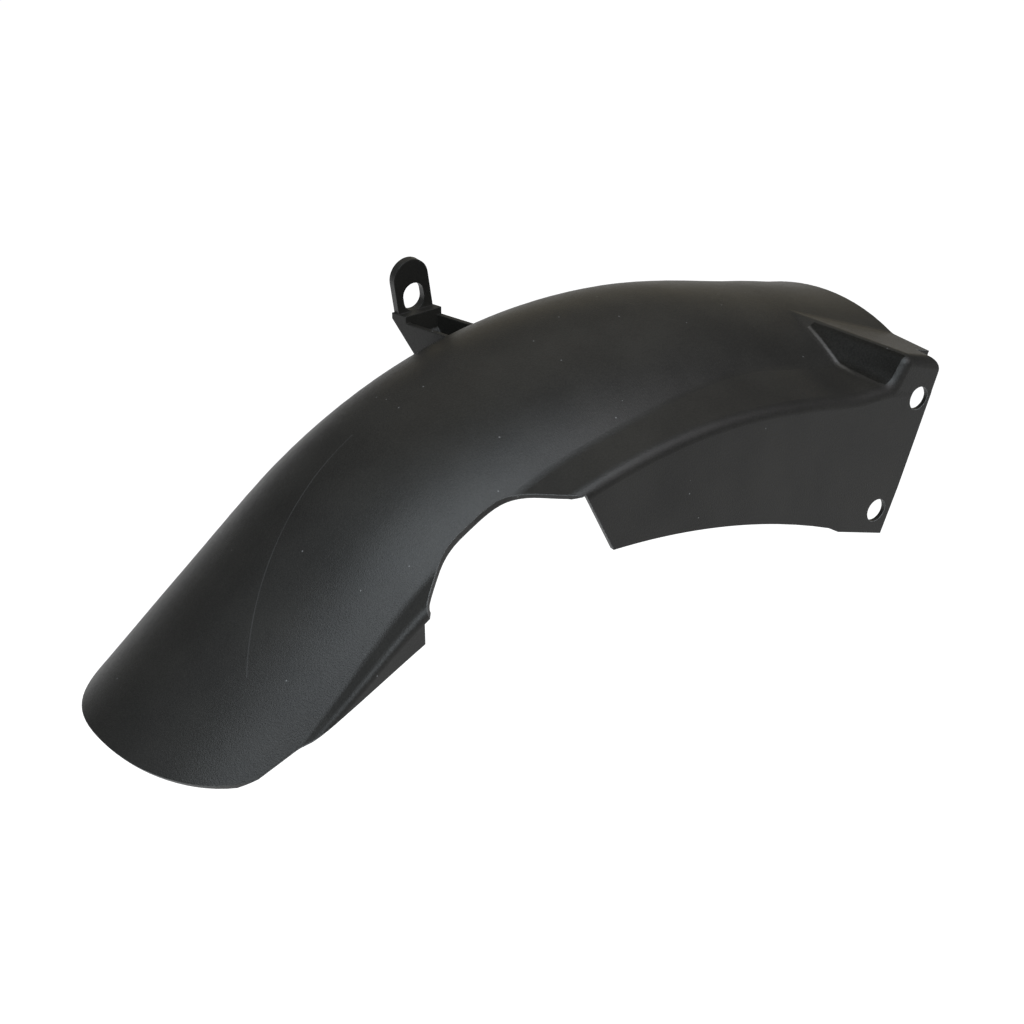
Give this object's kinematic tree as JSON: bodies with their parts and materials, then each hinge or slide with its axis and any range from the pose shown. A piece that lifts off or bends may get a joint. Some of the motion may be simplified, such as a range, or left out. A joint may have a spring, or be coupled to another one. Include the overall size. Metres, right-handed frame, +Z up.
{
  "type": "motorcycle rear mudguard",
  "caption": "Arched black plastic rear mudguard shell with a long rounded tail, a wheel cut-out, a drilled side flange at the front and a slotted fixing lug on the other side.",
  "frame": {"origin": "middle of the flange's hole pair, on the flange's outer face", "axes": "+X forward along the machine, +Y from the flange side towards the lug side, +Z up"},
  "size_m": [0.3585, 0.1435, 0.1261],
  "materials": {
    "black_plastic": "fine moulded grain, satin black"
  },
  "bodies": {
    "root": {"rear_mudguard": "black_plastic"}
  },
  "joints": []
}
